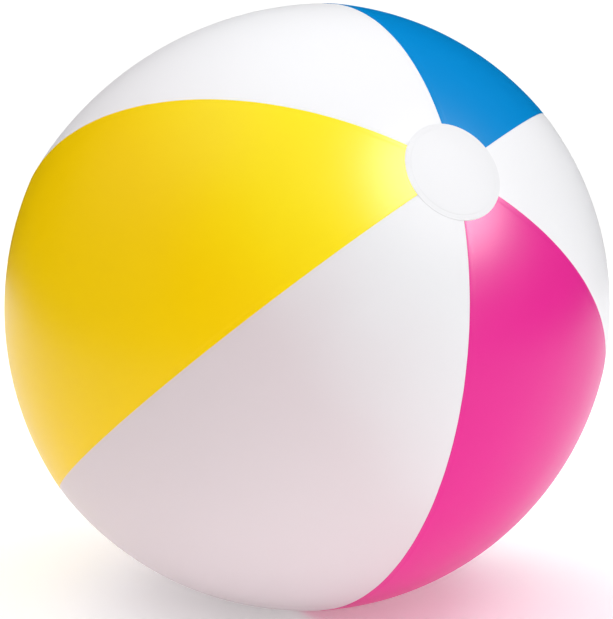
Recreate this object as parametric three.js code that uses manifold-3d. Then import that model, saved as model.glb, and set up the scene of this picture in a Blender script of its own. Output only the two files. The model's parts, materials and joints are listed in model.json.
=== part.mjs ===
// An inflatable beach ball: six welded gores of soft film, a round cap over each pole, and in one cap
// a push-in valve that is blown by mouth. Millimetres, +Z up. The ball rests on z = 0, its own weight
// presses a small flat on its skin, and the origin is on the floor under the middle of the ball.
//
// Inside the ball's own frame +Z is the plain pole and longitudes count anticlockwise round it. The
// valve has a frame of its own: +Z out of the ball along the pole axis, z = 0 at the cap's outer skin.

import * as THREE from 'three';
import { mergeVertices } from 'three/addons/utils/BufferGeometryUtils.js';
import Module from 'manifold-3d';

const wasm = await Module();
wasm.setup();

// ---- Driving dimensions: the blown-up ball

const equatorRadius = 200;    // pole axis to the crest of a seam
const poleRadius = 206;       // centre to either pole: the film stretches a little more lengthwise
const filmThickness = 0.25;
const layerGap = 0.1;         // between the two layers of a weld
const weldWidth = 4;          // lap of one gore over the next
const capRadius = 32.5;        // round cap over the ends of the gores
const capLap = 6;             // how far the cap reaches over those ends
const patchDepth = 1.5;       // how far the skin is pressed in where the ball rests

// How the ball lies: heading turns the plain pole about the vertical, lean tips it down from the
// vertical, and spin turns the ball about its own pole axis.
const heading = -58.3;
const lean = 56;
const spin = 83;

// The gores in order round the plain pole, each from the seam at the end of the one before it. Every
// second one is white and runs on under the edges of its coloured neighbours. Sag is how much nearer
// to the axis a gore's middle lies than its seams, as a share of the radius.
const gores = [
  { name: 'gore_white_right', endsAt: 32, sag: 0.006, colour: 0xf4f4f6 },
  { name: 'gore_blue', endsAt: 89.5, sag: 0.002, colour: 0x0090d8 },
  { name: 'gore_white_top', endsAt: 148.5, sag: 0.022, colour: 0xf4f4f6 },
  { name: 'gore_yellow', endsAt: 209.5, sag: 0.011, colour: 0xf8d308 },
  { name: 'gore_white_bottom', endsAt: 270.5, sag: 0.004, colour: 0xf4f4f6 },
  { name: 'gore_pink', endsAt: 332, sag: 0.002, colour: 0xef429b },
];
const goreRows = 18;          // rows of facets from cap to cap, and columns from weld to weld
const goreColumns = 5;
const fineSteps = [-6, -3, 0, 3, 6];        // closer rows and columns, in degrees, across the flat

// ---- Driving dimensions: the valve

const portRadius = 11;        // hole in the valve cap
const flangeInner = 10.2;     // soft ring welded to the inside of the cap, round the hole
const flangeOuter = 20;
const flangeThickness = 0.8;
const rimHeight = 1;          // the mouthpiece's rim above the skin when the valve is pushed in
const stemLength = 17;
const stemRadius = 4.7;
const boreRadius = 3.5;
const collarRadius = 5.8;     // thicker rim that lips close on
const collarHeight = 1.8;
const webThickness = 0.5;     // thin cone that rolls inside out as the stem pops out
const seat = 0.3;             // air between pieces that rest on each other
const flapRadius = 4.2;       // check flap under the bore
const flapThickness = 0.6;
const tabWidth = 2.4;         // living hinge of the flap
const tabThickness = 0.48;
const tabReach = 0.15;        // how far it stands out of the flap's round
const strapPivot = 7.9;       // from the stem's axis to the bend of the stopper's strap
const strapPivotHeight = 0.2; // above the rim
const strapWidth = 3.2;
const strapThickness = 0.7;
const strapArch = [[0, -0.3], [-0.35, 0.5], [0.4, 1.15]];     // its line over the bend, from the pivot
const strapEnd = 1;           // height above the pivot where it reaches the head
const headRadius = 5.6;       // stopper's head
const headThickness = 1.6;
const headChamfer = 0.5;
const plugLength = 5.2;
const plugClearance = 0.15;   // between the plug and the bore
const plugRound = [[0.48, 0.94], [0.72, 0.8], [0.87, 0.57], [0.97, 0.28]];  // shares across and down
const lugWidth = 4;           // ear on the collar that carries the strap
const lugThickness = 1.2;
const webRootGap = 2.6;       // from the stem's wall to the foot of the cone
const chamfer = 0.3;
const valveTurn = -90;        // turns the strap's side of the valve downwards

// ---- Helpers

const rad = THREE.MathUtils.degToRad;

function vinyl(colour) {
  return new THREE.MeshStandardMaterial({ color: colour, roughness: 0.25, metalness: 0 });
}

function softPlastic(colour) {
  return new THREE.MeshStandardMaterial({ color: colour, roughness: 0.4, metalness: 0 });
}

function named(name, geometry, material) {
  const mesh = new THREE.Mesh(geometry, material);
  mesh.name = name;
  return mesh;
}

// A closed body from a list of triangles, with shared corners merged and flat triangles dropped.
function closedBody(corners) {
  const soup = new THREE.BufferGeometry();
  soup.setAttribute('position', new THREE.Float32BufferAttribute(corners.flatMap((p) => p.toArray()), 3));
  const merged = mergeVertices(soup, 1e-4);
  const index = merged.index.array;
  const kept = [];
  for (let i = 0; i < index.length; i += 3) {
    const [a, b, c] = index.slice(i, i + 3);
    if (a !== b && b !== c && c !== a) kept.push(a, b, c);
  }
  merged.setIndex(kept);
  return merged;
}

// A turned solid about Z from its profile of [radius, height] points, which ends where it started
// or runs from axis to axis.
function turned(profile, segments) {
  const points = profile.map(([r, z]) => new THREE.Vector2(r, z));
  return new THREE.LatheGeometry(points, segments).rotateX(Math.PI / 2);
}

function solidOf(geometry) {
  const bare = geometry.clone();
  bare.deleteAttribute('normal');
  bare.deleteAttribute('uv');
  const merged = mergeVertices(bare, 1e-4);
  return new wasm.Manifold(new wasm.Mesh({
    numProp: 3,
    vertProperties: new Float32Array(merged.attributes.position.array),
    triVerts: new Uint32Array(merged.index.array),
  }));
}

function geometryOf(solid) {
  const mesh = solid.getMesh();
  const geometry = new THREE.BufferGeometry();
  geometry.setAttribute('position', new THREE.Float32BufferAttribute(mesh.vertProperties, 3));
  geometry.setIndex([...mesh.triVerts]);
  return geometry;
}

// ---- The ball's shape

// Fraction by which the skin sags at a longitude: nothing at the welds, most in the middle of a gore.
function sagAt(lambda) {
  const first = gores.at(-1).endsAt - 360;
  const turn = THREE.MathUtils.euclideanModulo(lambda - first, 360) + first;
  const place = gores.findIndex((gore) => turn <= gore.endsAt);
  const start = place === 0 ? first : gores[place - 1].endsAt;
  const end = gores[place].endsAt;
  const across = (2 * turn - start - end) / (end - start);
  return gores[place].sag * (1 - across * across);
}

// A point of the skin, offset outwards. The sag fades out where the gores narrow towards the poles.
function skinPoint(theta, lambda, offset) {
  const ring = Math.sin(rad(theta));
  const girth = equatorRadius * ring * (1 - sagAt(lambda) * Math.min(1, 1.5 * ring));
  const x = girth * Math.cos(rad(lambda));
  const y = girth * Math.sin(rad(lambda));
  const point = new THREE.Vector3(x, y, poleRadius * Math.cos(rad(theta)));
  return point.setLength(point.length() + offset);
}

// The ball's pose, raised so that the lowest point of its skin would lie patchDepth under the floor.
const ballTurn = new THREE.Matrix4()
  .makeRotationZ(rad(heading))
  .multiply(new THREE.Matrix4().makeRotationY(rad(lean)))
  .multiply(new THREE.Matrix4().makeRotationZ(rad(spin)));

function lowestSkin() {
  const lowest = { theta: 0, lambda: 0, z: Infinity };
  for (let theta = 0; theta <= 180; theta += 0.5) {
    for (let lambda = 0; lambda < 360; lambda += 0.5) {
      const { z } = skinPoint(theta, lambda, 0).applyMatrix4(ballTurn);
      if (z < lowest.z) Object.assign(lowest, { theta, lambda, z });
    }
  }
  return lowest;
}

const rest = lowestSkin();
const centreHeight = -rest.z - patchDepth;
const ballPose = new THREE.Matrix4().makeTranslation(0, 0, centreHeight).multiply(ballTurn);
const ballPoseBack = ballPose.clone().invert();

// The same point with the floor's flat pressed into it, each layer of film staying above the last.
function pressedPoint(theta, lambda, offset) {
  const point = skinPoint(theta, lambda, offset).applyMatrix4(ballPose);
  point.z = Math.max(point.z, -offset);
  return point.applyMatrix4(ballPoseBack);
}

// A sheet of film between two offsets. Rows are polar angles, columnsAt gives the longitudes of a row,
// and a sheet that closes on itself round the pole has no side edges.
function filmSheet(rows, columnsAt, outer, inner, closesRound) {
  const layer = (offset) => rows.map((theta) => columnsAt(theta).map((l) => pressedPoint(theta, l, offset)));
  const top = layer(outer);
  const bottom = layer(inner);
  const corners = [];
  const quad = (a, b, c, d) => corners.push(a, b, c, a, c, d);
  const width = top[0].length;
  for (let i = 0; i + 1 < rows.length; i += 1) {
    for (let j = 0; j + 1 < width; j += 1) {
      quad(top[i][j], top[i + 1][j], top[i + 1][j + 1], top[i][j + 1]);
      quad(bottom[i][j], bottom[i][j + 1], bottom[i + 1][j + 1], bottom[i + 1][j]);
    }
    if (closesRound) continue;
    const last = width - 1;
    quad(top[i][0], bottom[i][0], bottom[i + 1][0], top[i + 1][0]);
    quad(top[i][last], top[i + 1][last], bottom[i + 1][last], bottom[i][last]);
  }
  const end = rows.length - 1;
  for (let j = 0; j + 1 < width; j += 1) {
    quad(top[0][j], top[0][j + 1], bottom[0][j + 1], bottom[0][j]);
    quad(top[end][j], bottom[end][j], bottom[end][j + 1], top[end][j + 1]);
  }
  return closedBody(corners);
}

// ---- The gores

const capTheta = THREE.MathUtils.radToDeg(Math.asin(capRadius / equatorRadius));
const endTheta = THREE.MathUtils.radToDeg(Math.asin((capRadius - capLap) / equatorRadius));

// Even steps from one value to another, with closer ones near a place and none crowding those.
function stepsWithFine(from, to, count, fine) {
  const closest = fine.length > 1 ? fine[1] - fine[0] : 0;
  const clear = (value) => fine.every((near) => Math.abs(value - near) > closest);
  const inside = Array.from({ length: count - 1 }, (_, i) => from + ((to - from) * (i + 1)) / count);
  return [from, to, ...inside.filter(clear), ...fine].sort((a, b) => a - b);
}

function goreRowAngles() {
  const fine = fineSteps.map((step) => rest.theta + step);
  return [endTheta, ...stepsWithFine(capTheta, 180 - capTheta, goreRows, fine), 180 - endTheta];
}

function liesUnder(place) {
  return place % 2 === 0;
}

// Longitudes of one gore at a polar angle: the two edges of the weld at either side, and the middle.
// The seam is the coloured gore's edge, and the white one reaches a weld's width past it.
function goreColumnAngles(place, theta) {
  const weld = THREE.MathUtils.radToDeg(weldWidth / (equatorRadius * Math.sin(rad(theta))));
  const past = liesUnder(place) ? weld : 0;
  const start = place === 0 ? gores.at(-1).endsAt - 360 : gores[place - 1].endsAt;
  const end = gores[place].endsAt;
  const resting = start < rest.lambda && rest.lambda < end;
  const fine = resting ? fineSteps.map((step) => (rest.lambda + step - start) / (end - start)) : [];
  const shares = stepsWithFine(0, 1, goreColumns, fine);
  const inset = weld - past;
  const middle = shares.map((share) => start + inset + share * (end - start - 2 * inset));
  return [start - past, ...middle, end + past];
}

function gore(place) {
  const { name, colour } = gores[place];
  const outer = liesUnder(place) ? -filmThickness - layerGap : 0;
  const columns = (theta) => goreColumnAngles(place, theta);
  const sheet = filmSheet(goreRowAngles(), columns, outer, outer - filmThickness, false);
  return named(name, sheet, vinyl(colour));
}

// ---- The caps

// All the longitudes round a row, the same ones that the gores under the cap have.
function capColumnAngles(theta) {
  const row = Math.min(Math.max(theta, endTheta), 180 - endTheta);
  const round = gores.flatMap((_, place) => goreColumnAngles(place, row).slice(1, -1));
  return [...round, round[0] + 360];
}

function cap(name, rows) {
  const sheet = filmSheet(rows, capColumnAngles, layerGap + filmThickness, layerGap, true);
  return named(name, sheet, vinyl(0xf8f8fa));
}

function thetaAtRadius(radius) {
  return THREE.MathUtils.radToDeg(Math.asin(radius / equatorRadius));
}

function plainCap() {
  return cap('cap_plain', [0, thetaAtRadius(capRadius / 2), endTheta, capTheta]);
}

function valveCap() {
  const rows = [capTheta, endTheta, thetaAtRadius(flangeOuter), thetaAtRadius(portRadius)];
  return cap('cap_valve', rows.map((theta) => 180 - theta));
}

// ---- The valve, in its own frame

// Height of the cap's outer skin at a radius from the valve's axis, counted from its top.
function skinDrop(radius) {
  return poleRadius * (Math.cos(Math.asin(radius / equatorRadius)) - 1);
}

function valveFlange() {
  const top = -filmThickness - seat;
  const middle = (flangeInner + flangeOuter) / 2;
  const radii = [flangeInner, middle, flangeOuter];
  const upper = radii.map((r) => [r, top + skinDrop(r)]);
  const lower = radii.map((r) => [r, top - flangeThickness + skinDrop(r)]);
  const ring = turned([upper[0], ...lower, ...upper.reverse()], 36);
  return named('valve_flange', ring, softPlastic(0xf0f0f2));
}

// The rolled-in cone from the flange down to the stem's root, as it lies with the valve pushed in.
function valveWeb() {
  const rim = -filmThickness - seat - layerGap;
  const root = rimHeight - stemLength;
  const wide = flangeInner - seat;
  const narrow = stemRadius + webRootGap;
  const hole = stemRadius + seat;
  const profile = [
    [hole, root],
    [narrow, root],
    [wide, rim],
    [wide - webThickness, rim],
    [narrow - webThickness, root + webThickness],
    [hole, root + webThickness],
    [hole, root],
  ];
  return named('valve_web', turned(profile, 36), softPlastic(0xe8eaee));
}

// The mouthpiece: a tube with a collar round its rim and an ear on the collar for the strap.
function valveStem() {
  const root = rimHeight - stemLength;
  const tube = turned([
    [boreRadius, root],
    [stemRadius, root],
    [stemRadius, rimHeight - collarHeight - 1],
    [collarRadius, rimHeight - collarHeight],
    [collarRadius, rimHeight - chamfer],
    [collarRadius - chamfer, rimHeight],
    [boreRadius, rimHeight],
    [boreRadius, root],
  ], 24);
  const reach = strapPivot - strapThickness / 2 - seat - stemRadius;
  const ear = new THREE.BoxGeometry(reach, lugWidth, lugThickness);
  ear.translate(-stemRadius - reach / 2, 0, rimHeight - chamfer - lugThickness / 2);
  return named('valve_stem', geometryOf(solidOf(tube).add(solidOf(ear))), softPlastic(0xf0f0f2));
}

// The flap that closes the bore from inside the ball, with the tab it bends on.
function checkFlap() {
  const disc = new THREE.CylinderGeometry(flapRadius, flapRadius, flapThickness, 24).rotateX(Math.PI / 2);
  const tab = new THREE.BoxGeometry(flapRadius, tabWidth, tabThickness);
  tab.translate(flapRadius / 2 + tabReach, 0, 0);
  const flap = geometryOf(solidOf(disc).add(solidOf(tab)));
  flap.translate(0, 0, rimHeight - stemLength - seat - flapThickness / 2);
  return named('check_flap', flap, softPlastic(0xe8eaee));
}

// The stopper: a thin head and a rounded plug short enough to swing out of the bore on its strap.
function stopper() {
  const under = rimHeight + seat;
  const top = under + headThickness;
  const mouth = boreRadius - plugClearance;
  const nose = plugRound.map(([across, down]) => [mouth * across, rimHeight - plugLength * down]);
  const profile = [
    [0, rimHeight - plugLength],
    ...nose,
    [mouth, under],
    [headRadius, under],
    [headRadius, top - headChamfer],
    [headRadius - headChamfer, top],
    [0, top],
  ];
  return named('stopper', turned(profile, 24), softPlastic(0xf0f0f2));
}

// The strap from the ear to the stopper's head, a short arch over the place where it bends.
function stopperStrap() {
  const pivot = rimHeight + strapPivotHeight;
  const stations = [...strapArch.map(([x, z]) => [x - strapPivot, z]), [-headRadius - seat, strapEnd]];
  const route = new THREE.CatmullRomCurve3(stations.map(([x, z]) => new THREE.Vector3(x, 0, pivot + z)));
  const section = new THREE.Shape([
    new THREE.Vector2(-strapWidth / 2, -strapThickness / 2),
    new THREE.Vector2(strapWidth / 2, -strapThickness / 2),
    new THREE.Vector2(strapWidth / 2, strapThickness / 2),
    new THREE.Vector2(-strapWidth / 2, strapThickness / 2),
  ]);
  const strap = new THREE.ExtrudeGeometry(section, { steps: 8, extrudePath: route });
  return named('stopper_strap', strap, softPlastic(0xf0f0f2));
}

// ---- The whole object

const ball = new THREE.Group();
ball.add(...gores.map((_, place) => gore(place)), plainCap(), valveCap());

const valve = new THREE.Group();
valve.name = 'valve_frame';
valve.add(valveFlange(), valveWeb(), valveStem(), checkFlap(), stopperStrap(), stopper());
valve.position.z = -poleRadius - layerGap - filmThickness;
valve.rotation.set(Math.PI, 0, rad(valveTurn));
ball.add(valve);
ballPose.decompose(ball.position, ball.quaternion, ball.scale);

const beachBall = new THREE.Group();
beachBall.add(ball);
const middle = new THREE.Box3().setFromObject(beachBall, true).getCenter(new THREE.Vector3());
ball.position.x -= middle.x;
ball.position.y -= middle.y;

export default beachBall;
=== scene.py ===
"""An inflatable beach ball: six welded gores of glossy film, a round cap over each pole, and a push-in
valve in one cap. Metres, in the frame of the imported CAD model. The ball stands on z = 0."""

import json
import math

import bmesh
import bpy
import numpy as np
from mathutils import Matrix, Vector


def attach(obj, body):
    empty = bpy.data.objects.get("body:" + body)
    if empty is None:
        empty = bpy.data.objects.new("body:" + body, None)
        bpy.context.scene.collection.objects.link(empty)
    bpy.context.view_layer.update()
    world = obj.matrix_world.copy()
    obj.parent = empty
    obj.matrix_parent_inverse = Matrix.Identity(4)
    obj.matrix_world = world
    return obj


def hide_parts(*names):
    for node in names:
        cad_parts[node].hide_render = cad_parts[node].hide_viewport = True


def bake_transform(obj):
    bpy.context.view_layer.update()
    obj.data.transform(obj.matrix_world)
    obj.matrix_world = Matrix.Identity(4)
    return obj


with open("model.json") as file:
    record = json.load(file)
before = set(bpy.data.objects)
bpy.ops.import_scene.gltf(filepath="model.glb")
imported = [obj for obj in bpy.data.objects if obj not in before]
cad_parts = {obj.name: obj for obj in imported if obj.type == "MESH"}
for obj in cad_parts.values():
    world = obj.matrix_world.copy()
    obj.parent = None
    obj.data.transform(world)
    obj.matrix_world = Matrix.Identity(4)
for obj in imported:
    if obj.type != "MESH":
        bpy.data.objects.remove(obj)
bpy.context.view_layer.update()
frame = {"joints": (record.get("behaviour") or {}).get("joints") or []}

# ---- Sizes that the CAD source has, in metres and degrees

MM = 0.001
EQUATOR_RADIUS = 200 * MM
POLE_RADIUS = 206 * MM
FILM = 0.25 * MM
LAYER_GAP = 0.1 * MM
WELD_WIDTH = 4 * MM
CAP_RADIUS = 32.5 * MM
CAP_LAP = 6 * MM
PORT_RADIUS = 11 * MM
FLANGE_INNER = 10.2 * MM
FLANGE_OUTER = 20 * MM
FLANGE_THICKNESS = 0.8 * MM
RIM_HEIGHT = 1 * MM
STEM_LENGTH = 17 * MM
STEM_RADIUS = 4.7 * MM
BORE_RADIUS = 3.5 * MM
COLLAR_RADIUS = 5.8 * MM
COLLAR_HEIGHT = 1.8 * MM
WEB_THICKNESS = 0.5 * MM
WEB_ROOT_GAP = 2.6 * MM
CHAMFER = 0.3 * MM
SEAT = 0.3 * MM
FLAP_RADIUS = 4.2 * MM
FLAP_THICKNESS = 0.6 * MM
TAB_WIDTH = 2.4 * MM
TAB_REACH = 0.15 * MM
STRAP_PIVOT = 7.9 * MM
STRAP_PIVOT_HEIGHT = 0.2 * MM
STRAP_WIDTH = 3.2 * MM
STRAP_THICKNESS = 0.7 * MM
HEAD_RADIUS = 5.6 * MM
HEAD_THICKNESS = 1.6 * MM
PLUG_LENGTH = 5.2 * MM
PLUG_CLEARANCE = 0.15 * MM
PLUG_ROUND = [(0.48, 0.94), (0.72, 0.8), (0.87, 0.57), (0.97, 0.28)]    # shares across and down
LUG_WIDTH = 4 * MM
LUG_THICKNESS = 1.2 * MM

# The gores round the plain pole: name, colour, longitude where each ends, and how far its middle sags.
GORES = [
    ("gore_white_right", "white", 32, 0.006),
    ("gore_blue", "blue", 89.5, 0.002),
    ("gore_white_top", "white", 148.5, 0.022),
    ("gore_yellow", "yellow", 209.5, 0.011),
    ("gore_white_bottom", "white", 270.5, 0.004),
    ("gore_pink", "pink", 332, 0.002),
]
SEAMS = np.array([gore[2] for gore in GORES], float)
SAGS = np.array([gore[3] for gore in GORES])

# ---- Finer detail than the CAD has

WHITE_LAYER = -0.27 * MM      # outer skin of a white gore under its neighbours' edges
WHITE_SKIN = -0.02 * MM       # and away from them
WHITE_RISE = (4.2 * MM, 9 * MM)         # where it rises from one to the other, from its side edge
CAP_SKIN = 0.2 * MM
CAP_UNDERSIDE = 0.02 * MM
LIP_DROP = 0.1 * MM           # how far the edge of a coloured gore and of the valve's hole is eased
LIP_WIDTH = 0.3 * MM
WELD_PRESS = 0.07 * MM        # how deep the weld is pressed into a coloured gore
WELD_BAND = (0.9 * MM, 3.4 * MM)        # where, from the gore's side edge
WELD_SOFT = 0.25 * MM
SAG_FADE = 1.5                # the sag fades out where the girth is under 1 / SAG_FADE of the equator
PUCKER_HEIGHT = 0.06 * MM     # ripples that a weld draws into the film
PUCKER_REACH = 11 * MM
PUCKER_WAVES = [(0.5, 31), (0.35, 47), (0.3, 68), (0.2, 19)]     # share of the height, and turns
SEAM_PHASE = 2.4              # shifts the ripples from seam to seam, and wave from wave
WAVE_PHASE = 1.7
PUCKER_FADE = (0.2, 0.5)      # girth, as a share of the equator, over which the ripples grow
FLOOR_BEND = 0.6 * MM         # how softly the skin bends into the flat that it rests on
CAP_LIP_DROP = 0.12 * MM
CAP_LIP_WIDTH = 0.5 * MM
CAP_RING = (0.7 * MM, 3.6 * MM)         # the ring pressed into a cap, from its edge
CAP_RING_SOFT = 0.2 * MM
PRESS_DEPTH = 0.1 * MM        # of that ring and of the rings over the flange
RIB_COUNT = 120
RIB_SLANT = 3.4               # radians per millimetre of radius
RIB_HEIGHT = 0.03 * MM
FLANGE_WELD = (12.2 * MM, 19.2 * MM)    # the rings pressed over the flange, from the pole axis
FLANGE_WELD_SOFT = 0.4 * MM
FLANGE_RING_STEP = 1.2 * MM
FLANGE_RING_HEIGHT = 0.04 * MM
WEB_BITE = 0.06 * MM          # how far the web runs into the flange and the stem that it is moulded to
WEB_RIM_DROP = 0.2 * MM       # from the flange's top to the web's rim
COLLAR_SLOPE = 1 * MM         # height of the cone under the collar
EAR_BITE = 0.4 * MM           # how far the ear runs into the tube
HEAD_RIM = 1.3 * MM           # the raised rim round the stopper's head
HEAD_RIM_SLOPE = 0.4 * MM
HEAD_DISH = 0.35 * MM         # how deep the head is dished beside the rim, and in its middle
HEAD_DISH_MIDDLE = 0.45 * MM
FLANGE_EDGE = 0.25 * MM       # how far the edges and corners of the mouldings are rounded
WEB_EDGE = 0.22 * MM
STEM_EDGE = 0.4 * MM
HEAD_EDGE = 0.45 * MM
EAR_CORNER = 0.6 * MM
EAR_BEVEL = 0.2 * MM
FLAP_BEVEL = 0.12 * MM
STRAP_EDGE = 0.2 * MM

# ---- How fine the meshes are

GORE_ROWS = 260
GORE_COLUMNS = 34
CAP_COLUMNS = 480
VALVE_SEGMENTS = 72
FLANGE_STEPS = 12
WEB_STEP = 0.5 * MM
FLAP_STEPS = 60
STRAP_STEPS = 48
CORNER_STEPS = 5
CORNER_SHARE = 0.45           # a rounded corner takes at most this share of a side
MERGE_DISTANCE = 1e-7
SHARP_ANGLE = math.radians(40)

# ---- Where the ball and the valve are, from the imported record's joints

joints = {joint["name"]: joint for joint in frame["joints"]}
valve_out = Vector(joints["valve_pop"]["axis"]).normalized()
valve_side = -Vector(joints["stopper_swing"]["axis"]).normalized()
valve_along = valve_side.cross(valve_out)
strap_hinge = Vector(joints["stopper_swing"]["pos_m"])
hinge_height = RIM_HEIGHT + STRAP_PIVOT_HEIGHT
valve_origin = strap_hinge + STRAP_PIVOT * valve_along - hinge_height * valve_out
ball_centre = valve_origin - (POLE_RADIUS + LAYER_GAP + FILM) * valve_out
ball_axes = np.array([valve_side, valve_along, -valve_out])
valve_axes = np.array([valve_along, valve_side, valve_out])


# ---- Shapes


def smooth_step(value, low, high):
    """0 up to low and 1 from high on, with a smooth rise between them."""
    share = np.clip((value - low) / (high - low), 0, 1)
    return share * share * (3 - 2 * share)


def band(value, low, high, soft):
    """1 between low and high, fading to 0 over soft at either side."""
    return smooth_step(value, low - soft, low) * (1 - smooth_step(value, high, high + soft))


def sag_at(longitude):
    """How much nearer to the axis the skin lies than a seam, as a share of the radius."""
    first = SEAMS[-1] - 360
    turn = np.mod(longitude - first, 360) + first
    place = np.minimum(np.searchsorted(SEAMS, turn, side="left"), len(SEAMS) - 1)
    starts = np.concatenate([[first], SEAMS[:-1]])
    across = (2 * turn - starts[place] - SEAMS[place]) / (SEAMS[place] - starts[place])
    return SAGS[place] * (1 - across * across)


def pucker_at(theta, longitude):
    """Small ripples beside each seam, different at every seam and none at the caps."""
    ring = np.sin(np.radians(theta))
    height = np.zeros(np.broadcast(theta, longitude).shape)
    for number, seam in enumerate(SEAMS):
        apart = np.mod(longitude - seam + 180, 360) - 180
        away = EQUATOR_RADIUS * ring * np.radians(np.abs(apart))
        wave = sum(
            share * np.sin(np.radians(theta) * turns + SEAM_PHASE * number + WAVE_PHASE * turns)
            for share, turns in PUCKER_WAVES
        )
        height += wave * np.exp(-((away / PUCKER_REACH) ** 2))
    return PUCKER_HEIGHT * height * smooth_step(ring, *PUCKER_FADE)


def ball_points(theta, longitude, offset):
    """Points of the skin in the model's frame, pressed flat where the ball rests."""
    theta, longitude, offset = np.broadcast_arrays(theta, longitude, offset)
    ring = np.sin(np.radians(theta))
    girth = EQUATOR_RADIUS * ring * (1 - sag_at(longitude) * np.minimum(1, SAG_FADE * ring))
    turn = np.radians(longitude)
    local = np.stack(
        [girth * np.cos(turn), girth * np.sin(turn), POLE_RADIUS * np.cos(np.radians(theta))],
        axis=-1,
    )
    length = np.linalg.norm(local, axis=-1)
    raised = length + offset + pucker_at(theta, longitude)
    points = (local / length[..., None] * raised[..., None]) @ ball_axes + np.array(ball_centre)
    clear = points[..., 2] + offset
    points[..., 2] = (clear + np.sqrt(clear * clear + FLOOR_BEND * FLOOR_BEND)) / 2 - offset
    return points


def valve_points(points):
    """Points given in the valve's own frame, in the model's frame."""
    return np.asarray(points, float) @ valve_axes + np.array(valve_origin)


def mesh_piece(name, points, faces, material):
    """A closed mesh with merged corners, outward faces and smooth shading between its sharp edges."""
    mesh = bpy.data.meshes.new(name)
    mesh.from_pydata(points.tolist(), [], faces.tolist())
    shape = bmesh.new()
    shape.from_mesh(mesh)
    bmesh.ops.remove_doubles(shape, verts=shape.verts, dist=MERGE_DISTANCE)
    bmesh.ops.recalc_face_normals(shape, faces=shape.faces)
    shape.to_mesh(mesh)
    shape.free()
    mesh.polygons.foreach_set("use_smooth", np.ones(len(mesh.polygons), bool))
    mesh.set_sharp_from_angle(angle=SHARP_ANGLE)
    mesh.materials.append(material)
    piece = bpy.data.objects.new(name, mesh)
    bpy.context.scene.collection.objects.link(piece)
    return piece


def grid_faces(rows, columns, first, wraps):
    """Four-sided faces of a grid of points stored row by row."""
    i, j = np.meshgrid(np.arange(rows - 1), np.arange(columns - (0 if wraps else 1)), indexing="ij")
    after = (j + 1) % columns
    corners = [i * columns + j, i * columns + after, (i + 1) * columns + after, (i + 1) * columns + j]
    return first + np.stack([corner.ravel() for corner in corners], axis=-1)


def shell(name, outer, inner, material, wraps):
    """A thin closed shell between two grids of points."""
    rows, columns = outer.shape[:2]
    count = rows * columns
    points = np.concatenate([outer.reshape(-1, 3), inner.reshape(-1, 3)])
    faces = [grid_faces(rows, columns, 0, wraps), grid_faces(rows, columns, count, wraps)]
    grid = np.arange(count).reshape(rows, columns)
    borders = [grid[0], grid[-1]]
    if not wraps:
        borders += [grid[:, 0], grid[:, -1]]
    for line in borders:
        after = np.roll(line, -1)
        if not wraps:
            line, after = line[:-1], after[:-1]
        faces.append(np.stack([line, after, after + count, line + count], axis=-1))
    return mesh_piece(name, points, np.concatenate(faces), material)


# ---- Materials

LIT_SIDE = Vector((0.8, 0.12, 0.59))      # the way to the side that most light comes from
SHADED_UP_TO = -0.05          # how far along LIT_SIDE, in radii, a film has its painted shade colour
LIT_FROM = 0.55               # and from where on it has its lit one
DRIFT = 0.3                   # how far, at most, noise moves that change
FILM_ROUGHNESS = (0.30, 0.38)
VINYL_ROUGHNESS = 0.35
PAPER_ROUGHNESS = 0.9
GRAIN_STRENGTH = 0.05
GRAIN_DEPTH = 0.2 * MM
VINYL_SHADE = 0.93            # the darker patches of the valve's vinyl
CLOUD_SCALE = 7.0             # noise scales, larger where the pattern is finer
WIPE_SCALE = 22.0
GRAIN_SCALE = 700.0
VINYL_SCALE = 120.0
PAPER_SCALE = 3.0

# Each film's colour on the lit side, its colour with painted shade on the other side, and how much it
# shines.
FILM_LOOKS = {
    "white_film": ((0.84, 0.84, 0.86), (0.83, 0.81, 0.83), 0.045),
    "blue_film": ((0.0, 0.235, 0.60), (0.0, 0.22, 0.57), 0.055),
    "yellow_film": ((0.95, 0.77, 0.0), (0.95, 0.62, 0.0), 0.18),
    "pink_film": ((0.74, 0.015, 0.27), (0.72, 0.015, 0.25), 0.25),
    # the low white gore's shaded colour is a painted lilac cast of light from the coloured gores
    "white_film_low": ((0.79, 0.79, 0.81), (0.70, 0.61, 0.635), 0.045),
    "cap_film": ((0.77, 0.77, 0.79), (0.77, 0.76, 0.78), 0.04),
}
VINYL_COLOUR = (0.78, 0.80, 0.82)
PAPER_COLOURS = [(0.93, 0.93, 0.93), (0.92, 0.92, 0.92)]
PAPER_GLOW = 0.22


def principled(name):
    material = bpy.data.materials.new(name)
    material.use_nodes = True
    tree = material.node_tree
    return material, tree, tree.nodes["Principled BSDF"]


def node(tree, kind, inputs=None, **settings):
    """A new node with its settings, each input either linked from a socket or set to a value."""
    made = tree.nodes.new(kind)
    for key, value in settings.items():
        setattr(made, key, value)
    for key, value in (inputs or {}).items():
        if isinstance(value, bpy.types.NodeSocket):
            tree.links.new(value, made.inputs[key])
        else:
            made.inputs[key].default_value = value
    return made


def noise(tree, where, scale, detail=2.0):
    return node(
        tree, "ShaderNodeTexNoise", {"Vector": where, "Scale": scale, "Detail": detail}
    ).outputs["Fac"]


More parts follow.
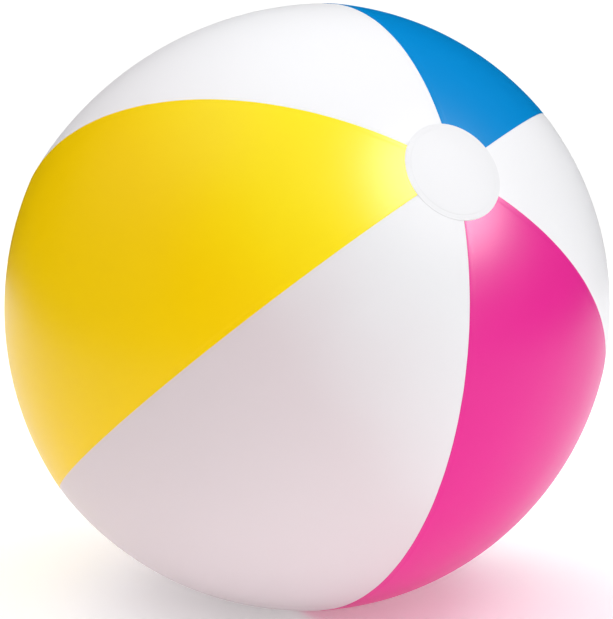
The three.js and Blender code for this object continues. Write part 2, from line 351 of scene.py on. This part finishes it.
def film_material(name, colour, shade, shine):
    """Glossy vinyl film, whose colour goes over into a painted shade colour away from the lit side."""
    material, tree, shader = principled(name)
    where = node(tree, "ShaderNodeTexCoord").outputs["Object"]
    outwards = node(
        tree,
        "ShaderNodeVectorMath",
        {0: where, 1: tuple(ball_centre)},
        operation="SUBTRACT",
    ).outputs[0]
    lit = node(
        tree,
        "ShaderNodeVectorMath",
        {0: outwards, 1: tuple(LIT_SIDE / EQUATOR_RADIUS)},
        operation="DOT_PRODUCT",
    ).outputs["Value"]
    cloud = noise(tree, where, CLOUD_SCALE)
    drift = node(
        tree,
        "ShaderNodeMath",
        {0: cloud, 1: DRIFT, 2: lit},
        operation="MULTIPLY_ADD",
    ).outputs[0]
    share = node(
        tree,
        "ShaderNodeMapRange",
        {"Value": drift, "From Min": LIT_FROM, "From Max": SHADED_UP_TO},
        interpolation_type="SMOOTHSTEP",
    ).outputs[0]
    # painted shade: the base colour turns from the lit colour to the shaded one away from LIT_SIDE
    tint = node(
        tree,
        "ShaderNodeMix",
        {"Factor": share, "A": (*colour, 1), "B": (*shade, 1)},
        data_type="RGBA",
    )
    tree.links.new(tint.outputs["Result"], shader.inputs["Base Color"])
    wipe = node(
        tree,
        "ShaderNodeMapRange",
        {
            "Value": noise(tree, where, WIPE_SCALE, detail=4.0),
            "To Min": FILM_ROUGHNESS[0],
            "To Max": FILM_ROUGHNESS[1],
        },
    ).outputs[0]
    tree.links.new(wipe, shader.inputs["Roughness"])
    shader.inputs["Specular IOR Level"].default_value = shine
    grain = noise(tree, where, GRAIN_SCALE)
    bump = node(
        tree,
        "ShaderNodeBump",
        {"Height": grain, "Strength": GRAIN_STRENGTH, "Distance": GRAIN_DEPTH},
    )
    tree.links.new(bump.outputs[0], shader.inputs["Normal"])
    return material


def vinyl_material(name, colour):
    """Soft moulded vinyl with faintly darker patches."""
    material, tree, shader = principled(name)
    shader.inputs["Roughness"].default_value = VINYL_ROUGHNESS
    where = node(tree, "ShaderNodeTexCoord").outputs["Object"]
    cloud = noise(tree, where, VINYL_SCALE, detail=3.0)
    tint = node(
        tree,
        "ShaderNodeMix",
        {"Factor": cloud, "A": (*colour, 1), "B": (*[part * VINYL_SHADE for part in colour], 1)},
        data_type="RGBA",
    )
    tree.links.new(tint.outputs["Result"], shader.inputs["Base Color"])
    return material


films = {name: film_material(name, *look) for name, look in FILM_LOOKS.items()}
valve_vinyl = vinyl_material("valve_vinyl", VINYL_COLOUR)

# ---- The gores

end_theta = math.degrees(math.asin((CAP_RADIUS - CAP_LAP) / EQUATOR_RADIUS))
# Columns of a gore's mesh by their distance from its side edge, closer where the weld is pressed.
edge_steps = np.array([0, 0.1, 0.3, 0.7, 0.9, 1.2, 2.2, 3.2, 3.5, 3.8, 5, 7]) * MM


def gore_grid(place):
    """Polar angles, longitudes and the distance from the nearer side edge for a gore's grid."""
    start = SEAMS[place - 1] - (360 if place == 0 else 0)
    end = SEAMS[place]
    past = WELD_WIDTH if GORES[place][1] == "white" else 0
    theta = np.linspace(end_theta, 180 - end_theta, GORE_ROWS + 1)[:, None]
    girth = EQUATOR_RADIUS * np.sin(np.radians(theta))
    width = girth * math.radians(end - start) + 2 * past
    shares = np.linspace(0, 1, GORE_COLUMNS + 2)[None, 1:-1]
    inside = edge_steps[-1] + shares * (width - 2 * edge_steps[-1])
    near = np.broadcast_to(edge_steps, (len(theta), len(edge_steps)))
    along = np.concatenate([near, inside, width - near[:, ::-1]], axis=1)
    longitude = start + np.degrees((along - past) / girth)
    return theta, longitude, np.minimum(along, width - along)


def gore(place):
    """One gore. A white one runs on under its neighbours, and a coloured one is pressed on its edges."""
    name, colour = GORES[place][:2]
    theta, longitude, edge = gore_grid(place)
    if colour == "white":
        skin = WHITE_LAYER + (WHITE_SKIN - WHITE_LAYER) * smooth_step(edge, *WHITE_RISE)
    else:
        lip = -LIP_DROP * np.clip(1 - edge / LIP_WIDTH, 0, 1) ** 2
        skin = lip - WELD_PRESS * band(edge, *WELD_BAND, WELD_SOFT)
    outer = ball_points(theta, longitude, skin)
    inner = ball_points(theta, longitude, skin - FILM)
    # the low white gore takes the film with the painted lilac shade
    film = films["white_film_low" if name == "gore_white_bottom" else colour + "_film"]
    piece = shell(name + "_film", outer, inner, film, False)
    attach(piece, "ball")
    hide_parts(name)


for place in range(len(GORES)):
    gore(place)

# ---- The caps


def cap_skin(radius, longitude):
    """Outer skin of a cap near its edge: a pressed ring with slanting ribs between two lines."""
    edge = CAP_RADIUS - radius
    lip = -CAP_LIP_DROP * np.clip(1 - edge / CAP_LIP_WIDTH, 0, 1) ** 2
    ring = band(edge, *CAP_RING, CAP_RING_SOFT)
    ribs = np.sin(np.radians(longitude) * RIB_COUNT + radius / MM * RIB_SLANT)
    return CAP_SKIN + lip - ring * (PRESS_DEPTH - RIB_HEIGHT * ribs)


def cap(name, radii, middle_skin, plain):
    """A cap from its hole or middle out to its edge, over the plain pole or the other one."""
    edge_radii = CAP_RADIUS - edge_rings
    radius = np.concatenate([radii, edge_radii])[:, None]
    longitude = np.linspace(0, 360, CAP_COLUMNS, endpoint=False)[None, :]
    from_pole = np.degrees(np.arcsin(radius / EQUATOR_RADIUS))
    theta = from_pole if plain else 180 - from_pole
    skin = cap_skin(radius, longitude) + middle_skin(radius)
    outer = ball_points(theta, longitude, skin)
    inner = ball_points(theta, longitude, np.full_like(skin, CAP_UNDERSIDE))
    piece = shell(name + "_film", outer, inner, films["cap_film"], True)
    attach(piece, "ball")
    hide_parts(name)


def valve_weld(radius):
    """The skin's drop at the rim of the hole, and the rings pressed over the flange."""
    rim = -LIP_DROP * np.clip(1 - (radius - PORT_RADIUS) / LIP_WIDTH, 0, 1) ** 2
    weld = band(radius, *FLANGE_WELD, FLANGE_WELD_SOFT)
    wave = np.cos(2 * math.pi * radius / FLANGE_RING_STEP)
    return rim - weld * (PRESS_DEPTH - FLANGE_RING_HEIGHT * wave)


# Rings of a cap's mesh: by their distance from its edge, and further in by their radius.
edge_rings = np.concatenate([np.arange(4.5, 0.7, -0.25), [0.6, 0.5, 0.35, 0.2, 0.1, 0]]) * MM
plain_radii = np.concatenate([[0, 1], np.arange(2, 28, 2)]) * MM
valve_radii = np.concatenate([[11, 11.1, 11.3], np.arange(11.6, 20.6, 0.3), [21.5, 23, 25, 27]]) * MM
cap("cap_plain", plain_radii, np.zeros_like, True)
cap("cap_valve", valve_radii, valve_weld, False)

# ---- The valve, in its own frame: +Z out of the ball, z = 0 at the cap's outer skin


def rounded(corners, radius, closed=True):
    """A profile whose corners are rounded, as far as its sides allow."""
    corners = [np.array(corner, float) for corner in corners]
    count = len(corners)
    made = []
    for number, corner in enumerate(corners):
        if not closed and number in (0, count - 1):
            made.append(corner)
            continue
        before, after = corners[number - 1], corners[(number + 1) % count]
        sides = np.linalg.norm(before - corner), np.linalg.norm(after - corner)
        cut = min(radius, CORNER_SHARE * min(sides))
        start = corner + (before - corner) / sides[0] * cut
        end = corner + (after - corner) / sides[1] * cut
        for share in np.linspace(0, 1, CORNER_STEPS + 1):
            made.append((1 - share) ** 2 * start + 2 * share * (1 - share) * corner + share**2 * end)
    return np.array(made)


def dense(profile, step):
    """The same closed profile with extra points, so that none of its sides is longer than step."""
    made = []
    for start, end in zip(profile, np.roll(profile, -1, axis=0)):
        pieces = max(1, math.ceil(np.linalg.norm(end - start) / step))
        made += [start + (end - start) * number / pieces for number in range(pieces)]
    return np.array(made)


def turned(name, profile, material, closed=True):
    """A turned piece on the valve's axis, from its profile of (radius, height)."""
    angles = np.linspace(0, 2 * math.pi, VALVE_SEGMENTS, endpoint=False)
    radius = profile[:, 0, None]
    height = np.broadcast_to(profile[:, 1, None], (len(profile), VALVE_SEGMENTS))
    points = np.stack([radius * np.cos(angles), radius * np.sin(angles), height], axis=-1)
    rows = np.arange(len(profile))
    if closed:
        rows = np.append(rows, 0)
    grid = points[rows]
    faces = grid_faces(len(rows), VALVE_SEGMENTS, 0, True)
    return mesh_piece(name, valve_points(grid.reshape(-1, 3)), faces, material)


def skin_drop(radius):
    """The height of the ball's skin at a radius, from its height at the pole."""
    return POLE_RADIUS * (np.cos(np.arcsin(radius / EQUATOR_RADIUS)) - 1)


def valve_flange():
    """The soft ring welded under the cap round its hole, following the cap's curve."""
    radii = np.linspace(FLANGE_INNER, FLANGE_OUTER, FLANGE_STEPS)
    top = [(r, -FILM - SEAT + skin_drop(r)) for r in radii]
    bottom = [(r, -FILM - SEAT - FLANGE_THICKNESS + skin_drop(r)) for r in radii[::-1]]
    piece = turned("flange_ring", rounded(top + bottom, FLANGE_EDGE), valve_vinyl)
    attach(piece, "ball")
    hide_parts("valve_flange")


def valve_web():
    """The thin cone between flange and stem, which stretches as the stem pops out."""
    rim = -FILM - SEAT - WEB_RIM_DROP
    root = RIM_HEIGHT - STEM_LENGTH
    wide = FLANGE_INNER + WEB_BITE
    narrow = STEM_RADIUS + WEB_ROOT_GAP
    hole = STEM_RADIUS - WEB_BITE
    corners = [
        (hole, root),
        (narrow, root),
        (wide, rim),
        (wide - WEB_THICKNESS, rim),
        (narrow - WEB_THICKNESS, root + WEB_THICKNESS),
        (hole, root + WEB_THICKNESS),
    ]
    profile = dense(rounded(corners, WEB_EDGE), WEB_STEP)
    piece = turned("web_cone", profile, valve_vinyl)
    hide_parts("valve_web")
    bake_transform(piece)


def valve_stem():
    """The mouthpiece tube with its collar, and the ear that carries the strap."""
    root = RIM_HEIGHT - STEM_LENGTH
    corners = [
        (BORE_RADIUS, root),
        (STEM_RADIUS, root),
        (STEM_RADIUS, RIM_HEIGHT - COLLAR_HEIGHT - COLLAR_SLOPE),
        (COLLAR_RADIUS, RIM_HEIGHT - COLLAR_HEIGHT),
        (COLLAR_RADIUS, RIM_HEIGHT),
        (BORE_RADIUS, RIM_HEIGHT),
    ]
    tube = turned("stem_tube", rounded(corners, STEM_EDGE), valve_vinyl)
    near = -STEM_RADIUS + EAR_BITE
    far = -STRAP_PIVOT + STRAP_THICKNESS / 2 + SEAT
    half = LUG_WIDTH / 2
    outline = rounded([(near, -half), (near, half), (far, half), (far, -half)], EAR_CORNER)
    top = RIM_HEIGHT - CHAMFER
    ear = extruded("stem_ear", outline, top - LUG_THICKNESS, top, EAR_BEVEL, valve_vinyl)
    for piece in (tube, ear):
        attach(piece, "valve")
        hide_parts("valve_stem")


def stopper():
    """The plug and its dished head."""
    under = RIM_HEIGHT + SEAT
    mouth = BORE_RADIUS - PLUG_CLEARANCE
    plug = [(mouth * across, RIM_HEIGHT - PLUG_LENGTH * down) for across, down in PLUG_ROUND]
    top = under + HEAD_THICKNESS
    corners = [
        (0, RIM_HEIGHT - PLUG_LENGTH),
        *plug,
        (mouth, under),
        (HEAD_RADIUS, under),
        (HEAD_RADIUS, top),
        (HEAD_RADIUS - HEAD_RIM, top),
        (HEAD_RADIUS - HEAD_RIM - HEAD_RIM_SLOPE, top - HEAD_DISH),
        (0, top - HEAD_DISH_MIDDLE),
    ]
    piece = turned("stopper_cap", rounded(corners, HEAD_EDGE, closed=False), valve_vinyl, False)
    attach(piece, "stopper")
    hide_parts("stopper")


def extruded(name, outline, low, high, bevel, material):
    """A flat piece from its outline in the valve's frame, with its upper and lower edges eased."""
    outline = np.array(outline)
    middle = outline.mean(axis=0)
    reach = np.linalg.norm(outline - middle, axis=1, keepdims=True)
    inset = middle + (outline - middle) * (1 - bevel / reach)
    levels = [(inset, low), (outline, low + bevel), (outline, high - bevel), (inset, high)]
    rings = [np.column_stack([line, np.full(len(line), level)]) for line, level in levels]
    centres = [np.tile([*middle, level], (len(outline), 1)) for level in (low, high)]
    grid = np.stack([centres[0], *rings, centres[1]])
    faces = grid_faces(len(grid), len(outline), 0, True)
    return mesh_piece(name, valve_points(grid.reshape(-1, 3)), faces, material)


def check_flap():
    """The round flap under the bore, with the straight tab that it bends at."""
    half = TAB_WIDTH / 2
    turn = math.asin(half / FLAP_RADIUS)
    around = np.linspace(turn, 2 * math.pi - turn, FLAP_STEPS)
    outline = [(FLAP_RADIUS * math.cos(a), FLAP_RADIUS * math.sin(a)) for a in around]
    end = FLAP_RADIUS + TAB_REACH
    outline += [(end, -half), (end, 0), (end, half)]
    top = RIM_HEIGHT - STEM_LENGTH - SEAT
    piece = extruded("flap_disc", outline, top - FLAP_THICKNESS, top, FLAP_BEVEL, valve_vinyl)
    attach(piece, "flap")
    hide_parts("check_flap")


def smooth_route(points, count):
    """A smooth line through points, by Catmull and Rom's rule."""
    points = [np.array(point, float) for point in points]
    line = [2 * points[0] - points[1], *points, 2 * points[-1] - points[-2]]
    spans = len(points) - 1
    made = []
    for place in np.linspace(0, spans, count):
        number = min(int(place), spans - 1)
        t = place - number
        a, b, c, d = line[number : number + 4]
        bend = (2 * a - 5 * b + 4 * c - d) * t**2
        twist = (3 * b - a - 3 * c + d) * t**3
        made.append(0.5 * (2 * b + (c - a) * t + bend + twist))
    return np.array(made)


# The strap's middle line as (along, height): out of the ear, over the bend and into the head's side.
STRAP_ROUTE = [
    (-STRAP_PIVOT + 1.1 * MM, hinge_height - 1.15 * MM),
    (-STRAP_PIVOT + 0.3 * MM, hinge_height - 0.95 * MM),
    (-STRAP_PIVOT - 0.35 * MM, hinge_height - 0.2 * MM),
    (-STRAP_PIVOT - 0.1 * MM, hinge_height + 0.75 * MM),
    (-STRAP_PIVOT + 0.9 * MM, hinge_height + 1.1 * MM),
    (-HEAD_RADIUS + 0.3 * MM, hinge_height + 1 * MM),
]


def stopper_strap():
    """A strap of rounded section along its route, bending between its two ends."""
    route = smooth_route(STRAP_ROUTE, STRAP_STEPS)
    ahead = np.gradient(route, axis=0)
    ahead /= np.linalg.norm(ahead, axis=1, keepdims=True)
    square = [(-0.5, -0.5), (0.5, -0.5), (0.5, 0.5), (-0.5, 0.5)]
    section = rounded(np.array(square) * [STRAP_WIDTH, STRAP_THICKNESS], STRAP_EDGE)
    across, out = section[:, 0], section[:, 1]
    rings = [
        np.column_stack([x - dz * out, across, z + dx * out])
        for (x, z), (dx, dz) in zip(route, ahead)
    ]
    ends = [np.tile(ring.mean(axis=0), (len(section), 1)) for ring in (rings[0], rings[-1])]
    grid = np.stack([ends[0], *rings, ends[1]])
    faces = grid_faces(len(grid), len(section), 0, True)
    piece = mesh_piece("strap_arch", valve_points(grid.reshape(-1, 3)), faces, valve_vinyl)
    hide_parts("stopper_strap")
    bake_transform(piece)


valve_flange()
valve_web()
valve_stem()
stopper()
check_flap()
stopper_strap()

# ---- The floor, the light and the camera

CAMERA_HEIGHT_ANGLE = math.radians(12)
CAMERA_DISTANCE = 1.699
CAMERA_LENS = 148.6
AIM_RIGHT = 0.7 * MM           # where the camera aims, from the ball's centre
AIM_DOWN = 1.3 * MM
FLOOR_REACH = 1.2              # half the side of the floor's square
ROOM_WHITE = (1.05, 1.05, 1.05)

# Name, the way to it, its width in degrees, its power, and what it does: "light" lights the surfaces,
# "fill" does so without shadows, and "shine" is only seen reflected in the film.
LAMPS = [
    ("key", (0.7, -0.21, 0.67), 50, 0.78, "light"),
    ("overhead", (0, 0, 1), 80, 2.2, "light"),
    ("front", (-0.15, -0.9, 0.35), 60, 0.42, "fill"),
    ("upper_left", (-0.6, 0.2, 0.77), 60, 0.6, "fill"),
    ("left", (-0.9, 0, 0.4), 60, 0.4, "fill"),
    ("low_right", (0.7, -0.7, 0.15), 40, 0.9, "fill"),
    ("softbox", (0.67, -0.28, 0.68), 46, 12.8, "shine"),
]


def studio_floor():
    """A square of white paper that glows faintly."""
    mesh = bpy.data.meshes.new("floor")
    far = FLOOR_REACH
    mesh.from_pydata([(-far, -far, 0), (far, -far, 0), (far, far, 0), (-far, far, 0)], [], [(0, 1, 2, 3)])
    material, tree, shader = principled("floor_paper")
    shader.inputs["Roughness"].default_value = PAPER_ROUGHNESS
    where = node(tree, "ShaderNodeTexCoord").outputs["Object"]
    shader.inputs["Specular IOR Level"].default_value = 0.0
    shader.inputs["Emission Color"].default_value = (1, 1, 1, 1)
    shader.inputs["Emission Strength"].default_value = PAPER_GLOW
    tint = node(
        tree,
        "ShaderNodeMix",
        {
            "Factor": noise(tree, where, PAPER_SCALE),
            "A": (*PAPER_COLOURS[0], 1),
            "B": (*PAPER_COLOURS[1], 1),
        },
        data_type="RGBA",
    )
    tree.links.new(tint.outputs["Result"], shader.inputs["Base Color"])
    mesh.materials.append(material)
    floor = bpy.data.objects.new("floor", mesh)
    bpy.context.scene.collection.objects.link(floor)


def studio_light():
    """A white room seen only by the camera, soft lamps, and a softbox that only shines in the film."""
    world = bpy.data.worlds.new("studio")
    bpy.context.scene.world = world
    world.use_nodes = True
    tree = world.node_tree
    room = tree.nodes["Background"]
    room.inputs["Color"].default_value = (*ROOM_WHITE, 1)
    seen = node(tree, "ShaderNodeLightPath").outputs["Is Camera Ray"]
    tree.links.new(seen, room.inputs["Strength"])
    for name, way, width, power, task in LAMPS:
        lamp = bpy.data.lights.new(name, "SUN")
        lamp.energy = power
        lamp.angle = math.radians(width)
        lamp.use_shadow = task != "fill"
        holder = bpy.data.objects.new(name, lamp)
        holder.rotation_euler = Vector(way).to_track_quat("Z", "Y").to_euler()
        holder.visible_glossy = task == "shine"
        holder.visible_diffuse = task != "shine"
        bpy.context.scene.collection.objects.link(holder)


def studio_camera():
    """The camera, in front of the ball and a little above it."""
    lens = bpy.data.cameras.new("camera")
    lens.lens = CAMERA_LENS
    camera = bpy.data.objects.new("camera", lens)
    bpy.context.scene.collection.objects.link(camera)
    up = Vector((0, math.sin(CAMERA_HEIGHT_ANGLE), math.cos(CAMERA_HEIGHT_ANGLE)))
    back = Vector((0, -math.cos(CAMERA_HEIGHT_ANGLE), math.sin(CAMERA_HEIGHT_ANGLE)))
    aim = ball_centre + Vector((AIM_RIGHT, 0, 0)) - up * AIM_DOWN
    camera.location = aim + back * CAMERA_DISTANCE
    camera.rotation_euler = (math.pi / 2 - CAMERA_HEIGHT_ANGLE, 0, 0)
    bpy.context.scene.camera = camera


studio_floor()
studio_light()
studio_camera()
bpy.context.scene.view_settings.view_transform = "Standard"
